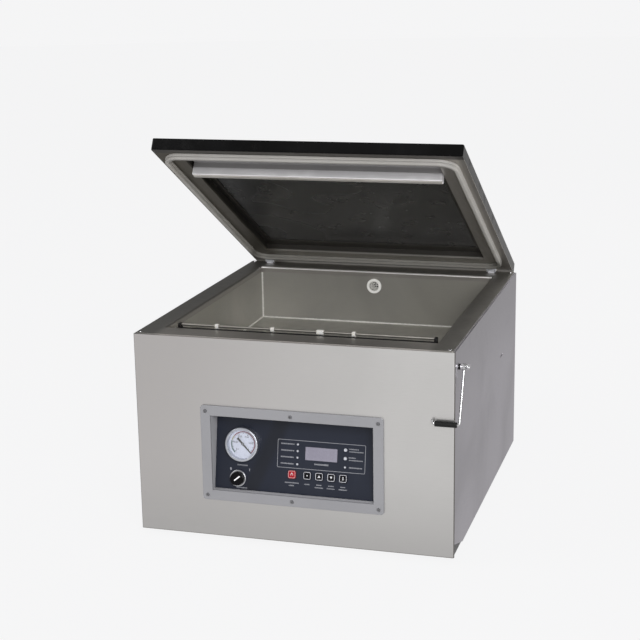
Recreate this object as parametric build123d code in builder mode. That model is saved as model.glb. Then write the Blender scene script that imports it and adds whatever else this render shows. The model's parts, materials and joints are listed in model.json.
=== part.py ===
from build123d import *
from math import cos, radians, sin, sqrt
import os

os.makedirs("parts", exist_ok=True)

# Table-top vacuum chamber sealer, in millimetres. X runs along the sealing bars, the operator
# stands at -Y and Z is up. The origin is the centre of the base plate's underside. The lid is
# drawn standing open on lid_plane, and the control panel leans back on panel_plane.

# ---------------------------------------------------------------- driving dimensions
body_w = 500.0  # case, outside
body_d = 560.0
body_h = 318.0  # base plate underside to deck top
sheet = 1.5  # case and deck sheet
fit = 0.05  # radial clearance of every running fit

chamber_w = 428.0  # vacuum chamber, inside
chamber_front = -235.0
chamber_back = 230.0
chamber_depth = 96.0
tub_wall = 2.0

lid_w = 486.0
lid_angle = 29.35  # opening angle of the lid at its stop
lid_t = 19.0
lid_gap = 10.0  # deck top to lid underside when shut
lid_front = -532.0  # lid edges, measured back from the hinge line along the lid
lid_rear = 34.0
hinge_y = 264.0
hinge_drop = 4.8  # hinge line below the lid's underside
hinge_x = 208.0

bar_l = 400.0  # sealing length of both bars
bar_front = -457.4  # front face of the pressure bar along the lid
bar_w = 14.0

panel_lean = 10.5  # control panel, leaning back in its well
panel_z = 135.0  # middle of the control frame
well_w = 256.0
well_h = 120.0
panel_foot_y = -272.0  # where the panel's face starts, at panel_foot_z
panel_foot_z = 74.0

latch_y = -250.0  # swing axis of the hold-down latch
latch_z = 288.0
latch_arm_x = 257.8
grip_r = 4.1
grip_z = 209.6

# ---------------------------------------------------------------- derived dimensions
half_w = body_w / 2
half_d = body_d / 2
case_h = body_h - sheet  # the deck lies on the case's top returns
chamber_y = (chamber_front + chamber_back) / 2
chamber_d = chamber_back - chamber_front
floor_z = body_h - chamber_depth
hinge_z = body_h + lid_gap - hinge_drop
grip_y = -half_d - grip_r - 0.5

# Two tension springs behind the case pull the lid's rear lip down and so hold it open.
hook_back = 28.5  # hook hole behind the hinge line, along the lid
hook_up = -6.0  # and below the lid's underside
hook_t = 3.0
hook_hole_r = 1.9
spring_r = 5.0
spring_wire = 1.6
spring_y = 288.0
anchor_z = 198.0

open_sin, open_cos = sin(radians(lid_angle)), cos(radians(lid_angle))
lean_sin, lean_cos = sin(radians(panel_lean)), cos(radians(panel_lean))
spring_top_z = hinge_z - hook_back * open_sin + (hook_up + hinge_drop) * open_cos
front_face = Plane.XZ.offset(half_d)  # normal -Y, local axes X and Z

# On lid_plane, local x is X, local y runs back along the lid and z is out of its top.
lid_plane = Plane(
    origin=(0, hinge_y + hinge_drop * open_sin, hinge_z + hinge_drop * open_cos),
    x_dir=(1, 0, 0),
    z_dir=(0, open_sin, open_cos),
)
# The same frame seen along X: local x runs back along the lid, local y is out of its top.
lid_side = Plane(
    origin=lid_plane.origin, x_dir=(0, open_cos, -open_sin), z_dir=(1, 0, 0)
)
# On panel_plane, local x is X, local y runs up the panel and z points at the operator.
panel_plane = Plane(
    origin=(0, panel_foot_y, panel_foot_z),
    x_dir=(1, 0, 0),
    z_dir=(0, -lean_cos, lean_sin),
)


def write(builder, name):
    """Labels a finished piece and writes it to its own STEP file."""
    builder.part.label = name
    export_step(builder.part, f"parts/{name}.step")


def panel_spot(x, up):
    """A plane on the control panel's face, centred at a place given in panel coordinates."""
    return Plane(
        origin=panel_plane.from_local_coords((x, up, 0)),
        x_dir=panel_plane.x_dir,
        z_dir=panel_plane.z_dir,
    )


def turned(plane, angle):
    """The same plane turned about its own normal."""
    across_dir = plane.x_dir * cos(radians(angle)) + plane.y_dir * sin(radians(angle))
    return Plane(origin=plane.origin, x_dir=across_dir, z_dir=plane.z_dir)


def across(plane_of, x):
    """A plane seen along X, moved sideways to x."""
    return Plane(
        origin=plane_of.origin + Vector(x, 0, 0), x_dir=plane_of.x_dir, z_dir=(1, 0, 0)
    )


def ring(plane, outer, inner, height, centre=(0, 0)):
    """A rectangular ring of the given outer and inner sizes, standing on a plane."""
    with BuildSketch(plane) as profile:
        with Locations(centre):
            Rectangle(*outer)
            Rectangle(*inner, mode=Mode.SUBTRACT)
    extrude(profile.sketch, amount=height)


def disc(plane, radius, height, mode=Mode.ADD, centre=(0, 0)):
    """A round disc, boss or hole standing on a plane."""
    with BuildSketch(plane) as profile:
        with Locations(centre):
            Circle(radius)
    extrude(profile.sketch, amount=height, mode=mode)


def block(plane, size, height, mode=Mode.ADD, centre=(0, 0)):
    """A rectangular block or pocket standing on a plane."""
    with BuildSketch(plane) as profile:
        with Locations(centre):
            Rectangle(*size)
    extrude(profile.sketch, amount=height, mode=mode)


# ================================================================ base, feet and case
base_w = body_w - 2 * sheet - 0.6
base_d = body_d - 2 * sheet - 0.6
base_t = 2.0
flange_h = 26.0
foot_places = GridLocations(400, 410, 2, 2)
foot_h = 10.0
foot_r = 20.0
neck_r = 4.0
fixing_r = 4.5  # four holes for bolting the machine to a bench
fixing_places = GridLocations(300, 480, 2, 2)

with BuildPart() as base_plate:
    block(Plane.XY, (base_w, base_d), base_t)
    ring(
        Plane.XY.offset(base_t),
        (base_w, base_d),
        (base_w - 2 * base_t, base_d - 2 * base_t),
        flange_h - base_t,
    )
    with BuildSketch(Plane.XY):
        with fixing_places:
            Circle(fixing_r)
        with foot_places:
            Circle(neck_r)
    extrude(amount=base_t, mode=Mode.SUBTRACT)
write(base_plate, "base_plate")

with BuildPart() as feet:
    with BuildSketch(Plane.XY):
        with foot_places:
            Circle(foot_r)
    extrude(amount=-foot_h, taper=6)
    with BuildSketch(Plane.XY.offset(-foot_h)):
        with foot_places:
            Circle(9)
    extrude(amount=4, mode=Mode.SUBTRACT)
    # Each foot is pushed in: a neck through the plate and a barb above it.
    with BuildSketch(Plane.XY):
        with foot_places:
            Circle(neck_r)
    extrude(amount=base_t)
    with BuildSketch(Plane.XY.offset(base_t)):
        with foot_places:
            Circle(neck_r + 1.5)
    extrude(amount=3, taper=20)
write(feet, "feet")

# The front sheet turns the corner by a few millimetres, where the side sheets begin.
corner_return = 4.0
bend_r = 2.5
top_return = 8.0
seam = 0.4
frame_screw_places = [
    (x, z) for x in (-136, 0, 136) for z in (panel_z - 68, panel_z + 67)
]
well_wall = 2.0
shank_r = 1.5

with BuildPart() as front_panel:
    with BuildSketch(Plane.XY) as footprint:
        with Locations((0, -half_d + corner_return / 2)):
            Rectangle(body_w, corner_return)
        fillet(footprint.vertices().group_by(Axis.Y)[0], bend_r)
        with Locations((0, -half_d + corner_return / 2 + sheet)):
            Rectangle(body_w - 2 * sheet, corner_return, mode=Mode.SUBTRACT)
    extrude(amount=case_h)
    block(
        Plane.XY.offset(case_h - sheet),
        (body_w - 2 * sheet, top_return - 1),
        sheet,
        centre=(0, -half_d + 1 + (top_return - 1) / 2),
    )
    block(
        front_face,
        (well_w + 2 * well_wall + 1, well_h + 2 * well_wall + 1),
        -sheet,
        mode=Mode.SUBTRACT,
        centre=(0, panel_z),
    )
    with BuildSketch(front_face):
        with Locations(*frame_screw_places):
            Circle(shank_r)
    extrude(amount=-sheet, mode=Mode.SUBTRACT)
write(front_panel, "front_panel")

side_front = -half_d + corner_return + seam
notch_l, notch_h = 64.0, 20.0  # corner left open at the foot of each side sheet
slot_l, slot_h, slot_y, slot_z = 26.0, 2.0, 130.0, 203.0
stud_r = 2.5


def side_panel(side):
    """One side sheet with its inward top return; side is +1 at the operator's right."""
    outer = Plane.YZ.offset(side * half_w)
    with BuildPart() as panel:
        with BuildSketch(outer):
            with BuildLine():
                Polyline(
                    (side_front + notch_l, 0),
                    (half_d, 0),
                    (half_d, case_h),
                    (side_front, case_h),
                    (side_front, notch_h),
                    close=True,
                )
            make_face()
        extrude(amount=-side * sheet)
        return_front = -half_d + top_return + seam
        return_back = half_d - sheet - seam
        with BuildSketch(Plane.XY.offset(case_h - sheet)):
            with Locations(
                (side * (half_w - top_return / 2), (return_front + return_back) / 2)
            ):
                Rectangle(top_return, return_back - return_front)
        extrude(amount=sheet)
        if side > 0:
            with BuildSketch(outer):
                with Locations((slot_y, slot_z)):
                    SlotOverall(slot_l, slot_h)
                with Locations((latch_y, latch_z)):
                    Circle(stud_r)
            extrude(amount=-sheet, mode=Mode.SUBTRACT)
    return panel


write(side_panel(-1), "left_side_panel")
write(side_panel(1), "right_side_panel")

inlet_x, inlet_z = -170.0, 62.0
inlet_w, inlet_h = 48.0, 28.0
vent_rows = GridLocations(0, 12, 1, 8)
rear_face = Plane.XZ.offset(-half_d)  # normal still -Y, so outward is a negative height
rear_w = body_w - 2 * sheet - 0.6
rivet_r = 1.6
rear_rivets = [(x, z) for x in (-238, 0, 238) for z in (12, 296)]

with BuildPart() as rear_panel:
    with BuildSketch(rear_face):
        with Locations((0, case_h / 2)):
            Rectangle(rear_w, case_h)
        with Locations((inlet_x, inlet_z)):
            Rectangle(inlet_w + 0.6, inlet_h + 0.6, mode=Mode.SUBTRACT)
        for vent_x in (-75, 75):
            with Locations((vent_x, 110)):
                with vent_rows:
                    SlotOverall(110, 5, mode=Mode.SUBTRACT)
        with Locations(*rear_rivets):
            Circle(rivet_r, mode=Mode.SUBTRACT)
    extrude(amount=sheet)
    # Brackets welded on for the lower ends of the lid springs.
    for side in (-1, 1):
        with BuildSketch(rear_face):
            with Locations((side * hinge_x, anchor_z)):
                RectangleRounded(20, 26, 3)
        extrude(amount=-sheet)
        with BuildSketch(Plane.YZ.offset(side * hinge_x - hook_t / 2)):
            with Locations(((half_d + spring_y + 4) / 2, anchor_z)):
                Rectangle(spring_y + 4 - half_d, 9)
            with Locations((spring_y, anchor_z)):
                Circle(hook_hole_r, mode=Mode.SUBTRACT)
        extrude(amount=hook_t)
write(rear_panel, "rear_panel")

with BuildPart() as power_inlet:
    block(rear_face, (inlet_w + 14, inlet_h + 8), -2.2, centre=(inlet_x, inlet_z))
    block(rear_face, (inlet_w, inlet_h), 22, centre=(inlet_x, inlet_z))
    fillet(power_inlet.edges().filter_by(Axis.Y).group_by(Axis.X)[0], 4)
    block(
        rear_face.offset(-2.2), (27, 19), 17, mode=Mode.SUBTRACT, centre=(inlet_x, inlet_z)
    )
    with BuildSketch(rear_face.offset(14.8)):
        for pin_x, pin_z in ((-7, -2), (0, 3), (7, -2)):
            with Locations((inlet_x + pin_x, inlet_z + pin_z)):
                Rectangle(2, 4)
    extrude(amount=-12)
write(power_inlet, "power_inlet")

# ================================================================ deck and chamber
deck_inset = 3.0
lip_h = 10.0  # the deck turns down into the chamber by this much
fold_r = 3.4
chamber_size = (chamber_w, chamber_d)
chamber_outer = (chamber_w + 2 * tub_wall, chamber_d + 2 * tub_wall)
deck_rivets = [(x, y) for x in (-241, 241) for y in (-271, 271)]

with BuildPart() as top_deck:
    with BuildSketch(Plane.XY.offset(case_h)):
        RectangleRounded(body_w - 2 * deck_inset, body_d - 2 * deck_inset, 2)
        with Locations((0, chamber_y)):
            Rectangle(*chamber_size, mode=Mode.SUBTRACT)
        with Locations(*deck_rivets):
            Circle(rivet_r, mode=Mode.SUBTRACT)
    extrude(amount=sheet)
    ring(
        Plane.XY.offset(body_h - lip_h),
        chamber_outer,
        chamber_size,
        lip_h,
        centre=(0, chamber_y),
    )
    rim_edges = (
        top_deck.faces()
        .filter_by(Axis.Z)
        .sort_by(Axis.Z)[-1]
        .inner_wires()
        .sort_by(SortBy.LENGTH)[-1]
        .edges()
    )
    fillet(rim_edges, fold_r)
write(top_deck, "top_deck")

port_z = body_h - 27.0
port_bore = 9.0
back_wall = Plane.XZ.offset(-chamber_back)
piston_x = 120.0

with BuildPart() as chamber_tub:
    block(Plane.XY.offset(floor_z - tub_wall), chamber_outer, tub_wall, centre=(0, chamber_y))
    ring(
        Plane.XY.offset(floor_z),
        chamber_outer,
        chamber_size,
        chamber_depth - lip_h,
        centre=(0, chamber_y),
    )
    disc(back_wall, port_bore, -tub_wall, mode=Mode.SUBTRACT, centre=(0, port_z))
write(chamber_tub, "chamber_tub")

with BuildPart() as case_rivets:
    with BuildSketch(Plane.XY.offset(case_h)):
        with Locations(*deck_rivets):
            Circle(rivet_r)
    extrude(amount=sheet)
    with BuildSketch(Plane.XY.offset(body_h)):
        with Locations(*deck_rivets):
            Circle(rivet_r + 1)
    extrude(amount=0.9, taper=30)
    with BuildSketch(rear_face):
        with Locations(*rear_rivets):
            Circle(rivet_r)
    extrude(amount=sheet)
    with BuildSketch(rear_face):
        with Locations(*rear_rivets):
            Circle(rivet_r + 1)
    extrude(amount=-0.9, taper=30)
write(case_rivets, "case_rivets")

port_flange_r = 13.4
screen_r = 9.6
screen_hole_r = 1.35

with BuildPart() as vacuum_port:
    disc(back_wall, port_flange_r, 2.6)
    fillet(vacuum_port.edges().group_by(Axis.Y)[0], 1.1)
    disc(back_wall, port_bore - 0.2, -20)
    disc(back_wall.offset(0.8), port_bore - 2.4, -21, mode=Mode.SUBTRACT)
    disc(back_wall.offset(0.8), port_bore - 0.7, -8, mode=Mode.SUBTRACT)
    disc(back_wall.offset(2.6), screen_r, -0.8, mode=Mode.SUBTRACT)
    with BuildSketch(back_wall):
        Circle(screen_hole_r)
        for ring_r, holes in ((3.4, 6), (6.8, 12)):
            with PolarLocations(ring_r, holes):
                Circle(screen_hole_r)
    extrude(amount=4, mode=Mode.SUBTRACT)
vacuum_port.part.position = (0, 0, port_z)
write(vacuum_port, "vacuum_port")

# ================================================================ bag rail, rod and clips
rod_r = 2.0
rod_y = -223.0
rod_z = body_h + 2.6
rail_left, rail_right = -196.0, 212.5  # the rail stands a little to the right
socket_w = 4.0
rod_inset = 1.0  # the rod stops this far inside each socket's outer face
rod_l = rail_right - rail_left - 2 * rod_inset
rail_end = Plane.YZ.offset(rail_left)
rod_end = rail_end.offset(rod_inset)

with BuildPart() as bag_rail:
    with BuildSketch(rail_end):
        with Locations((chamber_front + 3.7, body_h - 5)):
            Rectangle(7.4, 9)
    extrude(amount=rail_right - rail_left)
    for start in (rail_left, rail_right - socket_w):
        with BuildSketch(Plane.YZ.offset(start)):
            with Locations((rod_y - 2, body_h - 2)):
                RectangleRounded(11, 14, 2)
        extrude(amount=socket_w)
    disc(rod_end, rod_r, rod_l, mode=Mode.SUBTRACT, centre=(rod_y, rod_z))
write(bag_rail, "bag_rail")

with BuildPart() as bag_rod:
    disc(rod_end, rod_r, rod_l, centre=(rod_y, rod_z))
write(bag_rod, "bag_rod")

clip_r = 3.4


def bag_clip(x, width):
    """A nylon clip that slides along the bag rod and hangs a short tongue behind it."""
    with BuildPart() as clip:
        with BuildSketch(Plane.YZ.offset(x - width / 2)):
            with Locations((rod_y, rod_z)):
                RectangleRounded(2 * clip_r, 2 * clip_r, 1.6)
            with Locations((rod_y + 1.6, rod_z - 5)):
                Rectangle(2, 6)
            with Locations((rod_y, rod_z)):
                Circle(rod_r + fit, mode=Mode.SUBTRACT)
        extrude(amount=width)
    return clip


for name, x, width in (
    ("bag_clip_left", -134, 5.5),
    ("bag_clip_centre_left", -44, 5.5),
    ("bag_clip_centre_right", 32, 11),
    ("bag_clip_right", 84.5, 5.5),
):
    write(bag_clip(x, width), name)

# ================================================================ lower sealing bar and its lift
bar_y = hinge_y + bar_front + bar_w / 2
bar_top = body_h - 17.6
bar_h = 17.0
cover_t = 0.4
band_t = 0.4
cylinder_r = 14.0
piston_r = 6.0
cylinder_top = body_h - 50.0
lift_places = [(-piston_x, bar_y), (piston_x, bar_y)]

with BuildPart() as seal_bar:
    block(Plane.XY.offset(bar_top - bar_h), (bar_l, bar_w), bar_h, centre=(0, bar_y))
write(seal_bar, "seal_bar")

with BuildPart() as heating_band:
    block(Plane.XY.offset(bar_top), (bar_l, 6), band_t, centre=(0, bar_y))
write(heating_band, "heating_band")

with BuildPart() as ptfe_cover:
    cover_drop = 12.0
    block(
        Plane.XY.offset(bar_top - cover_drop),
        (bar_l, bar_w + 2 * cover_t),
        cover_drop + band_t + cover_t,
        centre=(0, bar_y),
    )
    block(
        Plane.XY.offset(bar_top - cover_drop),
        (bar_l, bar_w),
        cover_drop + band_t,
        mode=Mode.SUBTRACT,
        centre=(0, bar_y),
    )
write(ptfe_cover, "ptfe_cover")

with BuildPart() as lift_pistons:
    with BuildSketch(Plane.XY.offset(floor_z + 6)):
        with Locations(*lift_places):
            Circle(piston_r)
    extrude(amount=bar_top - bar_h - floor_z - 6)
write(lift_pistons, "lift_pistons")

with BuildPart() as lift_cylinders:
    with BuildSketch(Plane.XY.offset(floor_z)):
        with Locations(*lift_places):
            Circle(cylinder_r)
    extrude(amount=cylinder_top - floor_z)
    fillet(lift_cylinders.edges().group_by(Axis.Z)[-1], 2)
    with BuildSketch(Plane.XY.offset(floor_z + 3)):
        with Locations(*lift_places):
            Circle(piston_r + fit)
    extrude(amount=cylinder_top - floor_z, mode=Mode.SUBTRACT)
write(lift_cylinders, "lift_cylinders")

# ================================================================ lid
lid_middle = (lid_front + lid_rear) / 2
lid_l = lid_rear - lid_front
skirt_t = 3.0
top_t = 5.0  # lid top round the window
flange_t = 1.5
recess_w = 403.0  # hollow in the lid's underside
recess_front = -492.0
recess_rear = -46.0
recess_l = recess_rear - recess_front
recess_middle = (recess_front + recess_rear) / 2
window_w = 380.0
window_front = -432.0
window_rear = -72.0
window_l = window_rear - window_front
window_middle = (window_front + window_rear) / 2
ledge = 6.0  # the pane's rim lies on this step, so vacuum pulls it tight
pane_gap = 0.2
pan_outer = (recess_w + 2 * flange_t, recess_l + 2 * flange_t)
pan_wall = (pan_outer[0] + 2 * skirt_t, pan_outer[1] + 2 * skirt_t)
ceiling = lid_t - top_t - flange_t

with BuildPart() as lid_shell:
    with BuildSketch(lid_plane):
        with Locations((0, lid_middle)):
            RectangleRounded(lid_w, lid_l, 2.5)
    extrude(amount=lid_t)
    lid_top = lid_shell.faces().sort_by(Axis(lid_plane.origin, lid_plane.z_dir))[-1]
    fillet(lid_top.edges(), 1.2)
    # The hollow between the skirt and the pan's wall, then the place of the pan itself.
    with BuildSketch(lid_plane):
        with Locations((0, lid_middle)):
            Rectangle(lid_w - 2 * skirt_t, lid_l - 2 * skirt_t)
        with Locations((0, recess_middle)):
            Rectangle(*pan_wall, mode=Mode.SUBTRACT)
    extrude(amount=lid_t - top_t, mode=Mode.SUBTRACT)
    block(lid_plane, pan_outer, lid_t - top_t, mode=Mode.SUBTRACT, centre=(0, recess_middle))
    # The steel flange covers the whole underside, so the shell starts on top of it.
    block(lid_plane, (lid_w, lid_l), flange_t, mode=Mode.SUBTRACT, centre=(0, lid_middle))
    block(lid_plane, (window_w, window_l), lid_t, mode=Mode.SUBTRACT, centre=(0, window_middle))
    block(
        lid_plane.offset(lid_t - top_t / 2),
        (window_w + 2 * ledge, window_l + 2 * ledge),
        top_t,
        mode=Mode.SUBTRACT,
        centre=(0, window_middle),
    )
write(lid_shell, "lid_shell")

with BuildPart() as lid_window:
    block(
        lid_plane.offset(lid_t - top_t),
        (window_w - 2 * pane_gap, window_l - 2 * pane_gap),
        top_t / 2,
        centre=(0, window_middle),
    )
    block(
        lid_plane.offset(lid_t - top_t / 2),
        (window_w + 2 * ledge - 2 * pane_gap, window_l + 2 * ledge - 2 * pane_gap),
        top_t / 2,
        centre=(0, window_middle),
    )
write(lid_window, "lid_window")

with BuildPart() as lid_flange:
    with BuildSketch(lid_plane):
        with Locations((0, lid_middle)):
            RectangleRounded(lid_w - 0.4, lid_l - 0.4, 2.3)
    extrude(amount=flange_t)
    # The pan pressed into it: four walls and a ledge round the window.
    block(lid_plane, pan_outer, lid_t - top_t, centre=(0, recess_middle))
    block(lid_plane, (recess_w, recess_l), ceiling, mode=Mode.SUBTRACT, centre=(0, recess_middle))
    block(lid_plane, (window_w, window_l), lid_t, mode=Mode.SUBTRACT, centre=(0, window_middle))
    # Tabs under the rear lip for the upper ends of the lid springs.
    for side in (-1, 1):
        with BuildSketch(across(lid_side, side * hinge_x - hook_t / 2)):
            with Locations((hook_back - 2.5, -4)):
                RectangleRounded(9, 9.5, 1.5)
            with Locations((hook_back - 2.5, 0)):
                Rectangle(9, 2)
            with Locations((hook_back, hook_up)):
                Circle(hook_hole_r, mode=Mode.SUBTRACT)
        extrude(amount=hook_t)
write(lid_flange, "lid_flange")

# The gasket is two soft beads, one on the other, in a rounded ring round the chamber.
gasket_w = 464.0
gasket_front = -519.4
gasket_rear = -15.0
gasket_corner = 29.0
bead_t = 4.8
bead_w = 7.5
bead_step = 0.5  # the lower bead is this much narrower on each side
bead_r = 2.0


def gasket_bead(step, bottom, top):
    """One bead of the gasket, drawn between two heights under the lid."""
    width = bead_w - 2 * step
    length = gasket_rear - gasket_front - 2 * step
    with BuildPart() as bead:
        with BuildSketch(lid_plane.offset(bottom)):
            with Locations((0, (gasket_front + gasket_rear) / 2)):
                RectangleRounded(gasket_w - 2 * step, length, gasket_corner - step)
                RectangleRounded(
                    gasket_w - 2 * step - 2 * width,
                    length - 2 * width,
                    gasket_corner - step - width,
                    mode=Mode.SUBTRACT,
                )
        extrude(amount=top - bottom)
        along = Axis(lid_plane.origin, lid_plane.z_dir)
        fillet(bead.edges().group_by(along)[0], bead_r)
        fillet(bead.edges().group_by(along)[-1], bead_r / 2)
    return bead.part


with BuildPart() as lid_gasket:
    add(gasket_bead(0, -bead_t, 0))
    add(gasket_bead(bead_step, -2 * bead_t, -bead_t))
write(lid_gasket, "lid_gasket")

# The pressure bar: a steel holder off the recess ceiling carries an aluminium bar, and a
# rounded silicone strip stands out of a groove in the bar.
bar_mid = bar_front + bar_w / 2
bar_low, bar_high = -10.4, 2.0
strip_w, strip_proud, strip_deep = 9.0, 1.4, 3.0

with BuildPart() as bar_holder:
    with BuildSketch(lid_side):
        with Locations((bar_mid, (ceiling + bar_high) / 2)):
            Rectangle(bar_w - 1.2, ceiling - bar_high)
        with Locations((bar_mid, ceiling - 1)):
            Rectangle(bar_w + 10, 2)
    extrude(amount=bar_l / 2, both=True)
write(bar_holder, "bar_holder")

with BuildPart() as pressure_bar:
    with BuildSketch(lid_side):
        with Locations((bar_mid, (bar_low + bar_high) / 2)):
            RectangleRounded(bar_w, bar_high - bar_low, 1.2)
        with Locations((bar_mid, bar_low)):
            Rectangle(strip_w, 2 * strip_deep, mode=Mode.SUBTRACT)
    extrude(amount=bar_l / 2, both=True)
write(pressure_bar, "pressure_bar")

with BuildPart() as silicone_strip:
    with BuildSketch(lid_side) as strip_profile:
        with Locations((bar_mid, bar_low + (strip_deep - strip_proud) / 2)):
            Rectangle(strip_w, strip_deep + strip_proud)
        fillet(strip_profile.vertices().group_by(Axis.Y)[0], 1.2)
    extrude(amount=bar_l / 2 - 1, both=True)
write(silicone_strip, "silicone_strip")

# ================================================================ hinges and lid springs
pin_r = 2.0
barrel_r = 4.4
block_w = 11.0
ear_w = 2.8
ear_gap = 0.3
pin_half = block_w / 2 + ear_gap + ear_w + 0.3
leaf_t = 1.5
leaf_front, leaf_rear = -14.0, -5.4
axis_up = -hinge_drop  # hinge line in lid_side's own height


with BuildPart() as hinge_blocks:
    for side in (-1, 1):
        left = side * hinge_x - block_w / 2
        with BuildSketch(Plane.YZ.offset(left)):
            with Locations((hinge_y, hinge_z)):
                Circle(barrel_r)
            with Locations((hinge_y, (hinge_z + body_h) / 2)):
                Rectangle(2 * barrel_r, hinge_z - body_h)
            with Locations((hinge_y, hinge_z)):
                Circle(pin_r, mode=Mode.SUBTRACT)
        extrude(amount=block_w)
write(hinge_blocks, "hinge_blocks")

with BuildPart() as hinge_pins:
    for side in (-1, 1):
        disc(
            Plane.YZ.offset(side * hinge_x - pin_half), pin_r, 2 * pin_half,
            centre=(hinge_y, hinge_z),
        )
        for end in (-1, 1):
            disc(
                Plane.YZ.offset(side * hinge_x + end * pin_half),
                pin_r + 1.4,
                end * 1.4,
                centre=(hinge_y, hinge_z),
            )
write(hinge_pins, "hinge_pins")

with BuildPart() as hinge_leaves:
    for side in (-1, 1):
        with BuildSketch(across(lid_side, side * hinge_x - block_w / 2 - ear_gap - ear_w)):
            with Locations(((leaf_front + leaf_rear) / 2, -leaf_t / 2)):
                Rectangle(leaf_rear - leaf_front, leaf_t)
        extrude(amount=2 * (block_w / 2 + ear_gap + ear_w))
        for end in (-1, 1):
            ear_start = side * hinge_x + end * (block_w / 2 + ear_gap)
            with BuildSketch(across(lid_side, ear_start)):
                with Locations((0, axis_up)):
                    Circle(barrel_r)
                with Locations((leaf_front / 2, axis_up / 2)):
                    Rectangle(-leaf_front, -axis_up)
                with Locations((0, axis_up)):
                    Circle(pin_r + fit, mode=Mode.SUBTRACT)
            extrude(amount=end * ear_w)
write(hinge_leaves, "hinge_leaves")

coil_low = anchor_z + 12
coil_high = spring_top_z - 12

with BuildPart() as lid_springs:
    for side in (-1, 1):
        middle = (side * hinge_x, spring_y)
        with BuildSketch(Plane.XY.offset(coil_low)):
            with Locations(middle):
                Circle(spring_r)
                Circle(spring_r - spring_wire, mode=Mode.SUBTRACT)
        extrude(amount=coil_high - coil_low)
        for x in (-1, 1):
            # The end loops pass either side of the hook plates.
            loop_x = side * hinge_x + x * (hook_t / 2 + 0.3 + spring_wire / 2)
            with BuildSketch(Plane.XY.offset(anchor_z - 3)):
                with Locations((loop_x, spring_y)):
                    Rectangle(spring_wire, spring_wire)
            extrude(amount=spring_top_z + 3 - anchor_z + 3)
    # Between the loops' legs the coil's own bore stays clear.
write(lid_springs, "lid_springs")

# ================================================================ control frame and panel
frame_w, frame_h, frame_t = 288.0, 152.0, 3.0

with BuildPart() as control_frame:
    with BuildSketch(front_face):
        with Locations((0, panel_z)):
            RectangleRounded(frame_w, frame_h, 5)
            Rectangle(well_w, well_h, mode=Mode.SUBTRACT)
    extrude(amount=frame_t)
    fillet(control_frame.edges().group_by(Axis.Y)[0], 1.0)
    ring(
        front_face.offset(frame_t / 2),
        (well_w + 2 * well_wall, well_h + 2 * well_wall),
        (well_w, well_h),
        -45,
        centre=(0, panel_z),
    )
    split(bisect_by=panel_plane.offset(-2), keep=Keep.TOP)
    with BuildSketch(front_face):
        with Locations(*frame_screw_places):
            Circle(shank_r)
    extrude(amount=frame_t, mode=Mode.SUBTRACT)
write(control_frame, "control_frame")

with BuildPart() as frame_screws:
    with BuildSketch(front_face.offset(-6)):
        with Locations(*frame_screw_places):
            Circle(shank_r)
    extrude(amount=6 + frame_t)
    with BuildSketch(front_face.offset(frame_t)):
        with Locations(*frame_screw_places):
            Circle(2.9)
    extrude(amount=1.3, taper=25)
    with BuildSketch(front_face.offset(frame_t + 1.3)):
        with Locations(*frame_screw_places):
            Rectangle(2.6, 0.6)
            Rectangle(0.6, 2.6)
    extrude(amount=-0.7, mode=Mode.SUBTRACT)
write(frame_screws, "frame_screws")

panel_t = 2.0
panel_gap = 0.2
panel_low, panel_high = 1.6, 122.7
gauge_x, gauge_up = -84.0, 72.8
selector_x, selector_up = -90.7, 18.9
display_x, display_up = 41.2, 65.8
display_w, display_h = 50.4, 20.2
button_up = 31.7
button_size = 12.2
button_hole = 13.0
buttons = {
    "stop_button": -4.1,
    "set_button": 20.3,
    "up_button": 39.2,
    "down_button": 58.2,
    "select_button": 76.9,
}
small_leds = [(3.7, 78.4), (3.7, 68.3), (3.7, 58.2), (3.7, 48.1), (79.0, 49.3)]
large_leds = [(79.0, 75.7), (79.0, 62.7)]
small_led_r, large_led_r = 1.6, 2.5
gauge_body_r, bezel_r, dial_r = 23.6, 26.5, 23.0
selector_body_r = 8.6
board_gap = 10.4  # panel face to the circuit board's front

with BuildPart() as control_panel:
    with BuildSketch(panel_plane):
        with Locations((0, (panel_low + panel_high) / 2)):
            Rectangle(well_w - 2 * panel_gap, panel_high - panel_low)
        with Locations((gauge_x, gauge_up)):
            Circle(gauge_body_r + panel_gap, mode=Mode.SUBTRACT)
        with Locations((selector_x, selector_up)):
            Circle(selector_body_r + panel_gap, mode=Mode.SUBTRACT)
        with Locations((display_x, display_up)):
            Rectangle(
                display_w + 2 * panel_gap, display_h + 2 * panel_gap, mode=Mode.SUBTRACT
            )
        with Locations(*[(x, button_up) for x in buttons.values()]):
            RectangleRounded(button_hole, button_hole, 2.8, mode=Mode.SUBTRACT)
        with Locations(*small_leds):
            Circle(small_led_r + panel_gap, mode=Mode.SUBTRACT)
        with Locations(*large_leds):
            Circle(large_led_r + panel_gap, mode=Mode.SUBTRACT)
    extrude(amount=-panel_t)
write(control_panel, "control_panel")

with BuildPart() as control_board:
    block(panel_plane.offset(-board_gap), (165, 96), -1.6, centre=(38, 58))
    for x in buttons.values():
        block(panel_plane.offset(-board_gap), (6, 6), 2.6, centre=(x, button_up))
    block(panel_plane.offset(-board_gap - 1.6), (24, 18), -14, centre=(20, 90))
    block(panel_plane.offset(-board_gap - 1.6), (34, 8), -9, centre=(80, 24))
write(control_board, "control_board")

with BuildPart() as display_module:
    block(
        panel_plane.offset(-board_gap),
        (display_w, display_h),
        board_gap + 0.4,
        centre=(display_x, display_up),
    )
write(display_module, "display_module")

with BuildPart() as indicator_leds:
    for places, radius in ((small_leds, small_led_r), (large_leds, large_led_r)):
        with BuildSketch(panel_plane.offset(-board_gap)):
            with Locations(*places):
                Circle(radius)
        extrude(amount=board_gap + 0.9)
    lens_tips = indicator_leds.edges().group_by(Axis(panel_plane.origin, panel_plane.z_dir))[-1]
    fillet(lens_tips, 0.7)
write(indicator_leds, "indicator_leds")

press_travel = 1.2


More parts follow.
